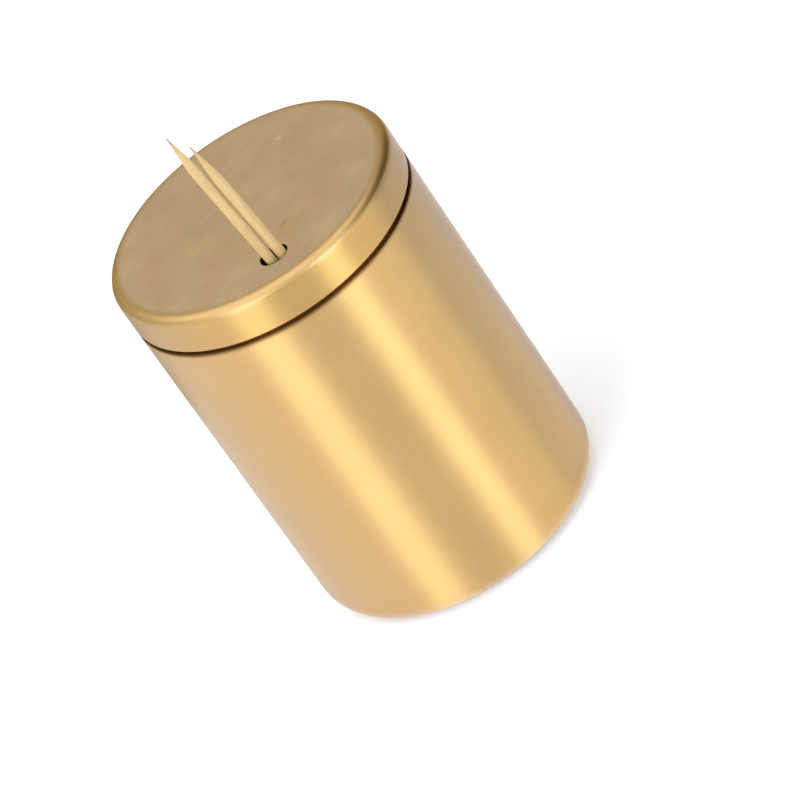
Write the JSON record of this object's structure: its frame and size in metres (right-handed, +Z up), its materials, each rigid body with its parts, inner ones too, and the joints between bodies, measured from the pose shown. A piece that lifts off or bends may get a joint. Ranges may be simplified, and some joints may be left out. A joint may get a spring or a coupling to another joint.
{
  "type": "toothpick dispenser",
  "caption": "Round metal shaker can with a flush slip lid; toothpicks come out through a punched hole near the lid's edge.",
  "frame": {"origin": "middle of the circle that the can stands on", "axes": "+Z up along the can's axis, the dispensing hole is towards -Y, +X is to the right of someone who faces the hole"},
  "size_m": [0.058, 0.058, 0.112],
  "materials": {
    "can_metal": "gold-coloured coating over steel brushed around the can, satin",
    "ring_metal": "gold-coloured coating, turned, satin",
    "lid_metal": "gold-coloured coating, top brushed straight and duller than the skirt",
    "dispensed_wood": "raw pale wood, turned and tumbled smooth",
    "supply_wood": "raw pale wood, turned and tumbled smooth"
  },
  "bodies": {
    "can": {"can_body": "can_metal", "neck_ring": "ring_metal"},
    "supply": {"loose_toothpick_01": "supply_wood", "loose_toothpick_02": "supply_wood", "loose_toothpick_03": "supply_wood", "loose_toothpick_04": "supply_wood", "loose_toothpick_05": "supply_wood", "loose_toothpick_06": "supply_wood", "loose_toothpick_07": "supply_wood", "loose_toothpick_08": "supply_wood", "loose_toothpick_09": "supply_wood", "loose_toothpick_10": "supply_wood", "loose_toothpick_11": "supply_wood", "loose_toothpick_12": "supply_wood", "loose_toothpick_13": "supply_wood", "loose_toothpick_14": "supply_wood", "loose_toothpick_15": "supply_wood", "loose_toothpick_16": "supply_wood", "loose_toothpick_17": "supply_wood", "loose_toothpick_18": "supply_wood", "loose_toothpick_19": "supply_wood", "loose_toothpick_20": "supply_wood", "loose_toothpick_21": "supply_wood", "loose_toothpick_22": "supply_wood", "loose_toothpick_23": "supply_wood", "loose_toothpick_24": "supply_wood", "loose_toothpick_25": "supply_wood", "loose_toothpick_26": "supply_wood", "loose_toothpick_27": "supply_wood", "loose_toothpick_28": "supply_wood", "loose_toothpick_29": "supply_wood", "loose_toothpick_30": "supply_wood", "loose_toothpick_31": "supply_wood", "loose_toothpick_32": "supply_wood", "loose_toothpick_33": "supply_wood", "loose_toothpick_34": "supply_wood", "loose_toothpick_35": "supply_wood", "loose_toothpick_36": "supply_wood"},
    "lid": {"lid": "lid_metal"},
    "left_pick": {"left_toothpick": "dispensed_wood"},
    "right_pick": {"right_toothpick": "dispensed_wood"}
  },
  "joints": [
    {"name": "lid_turn", "type": "hinge", "parent": "can", "child": "supply", "pos_m": [0, 0, 0.0765], "axis": [0, 0, 1], "continuous": true},
    {"name": "lid_lift", "type": "slide", "parent": "supply", "child": "lid", "axis": [0, 0, 1], "range_m": [0, 0.08]},
    {"name": "left_pick_slide", "type": "slide", "parent": "lid", "child": "left_pick", "axis": [-0.0889, 0, 0.996], "range_m": [-0.0456, 0.034]},
    {"name": "right_pick_slide", "type": "slide", "parent": "lid", "child": "right_pick", "axis": [-0.0889, 0, 0.996], "range_m": [-0.0416, 0.038]}
  ]
}
